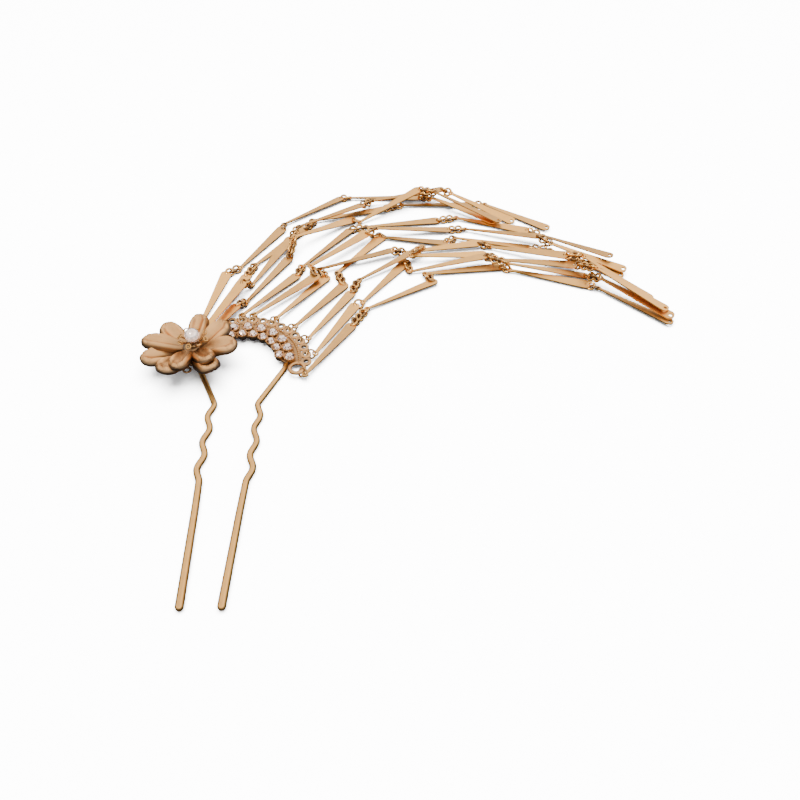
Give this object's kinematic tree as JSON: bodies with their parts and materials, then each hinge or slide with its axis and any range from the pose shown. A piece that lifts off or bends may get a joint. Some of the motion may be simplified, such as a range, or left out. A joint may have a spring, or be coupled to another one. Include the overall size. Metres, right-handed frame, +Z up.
{
  "type": "hairpin",
  "caption": "Two-pronged buyao hairpin lying flat: waved fork, jewelled crescent with a pearl flower, and tassel strands of tapered bars on small rings.",
  "frame": {"origin": "middle of the box round the whole hairpin, at the table that it lies on", "axes": "+Y from the fork's tips towards the crescent and the tassels, +Z up from the table, +X towards the tassels' free ends"},
  "size_m": [0.1502, 0.1606, 0.013],
  "materials": {
    "rose_gold": "satin rose gold plating",
    "pearl": "pearl"
  },
  "bodies": {
    "root": {"hairpin_frame": "rose_gold", "flower_lower_petals": "rose_gold", "flower_upper_petals": "rose_gold", "flower_stamens": "rose_gold", "pearl": "pearl", "tassel_strand_a": "rose_gold", "tassel_strand_b": "rose_gold", "tassel_strand_c": "rose_gold", "tassel_strand_d": "rose_gold", "tassel_strand_e": "rose_gold", "tassel_strand_f": "rose_gold", "tassel_strand_g": "rose_gold", "tassel_strand_h": "rose_gold", "tassel_strand_i": "rose_gold", "tassel_strand_j": "rose_gold", "tassel_strand_k": "rose_gold"}
  },
  "joints": []
}
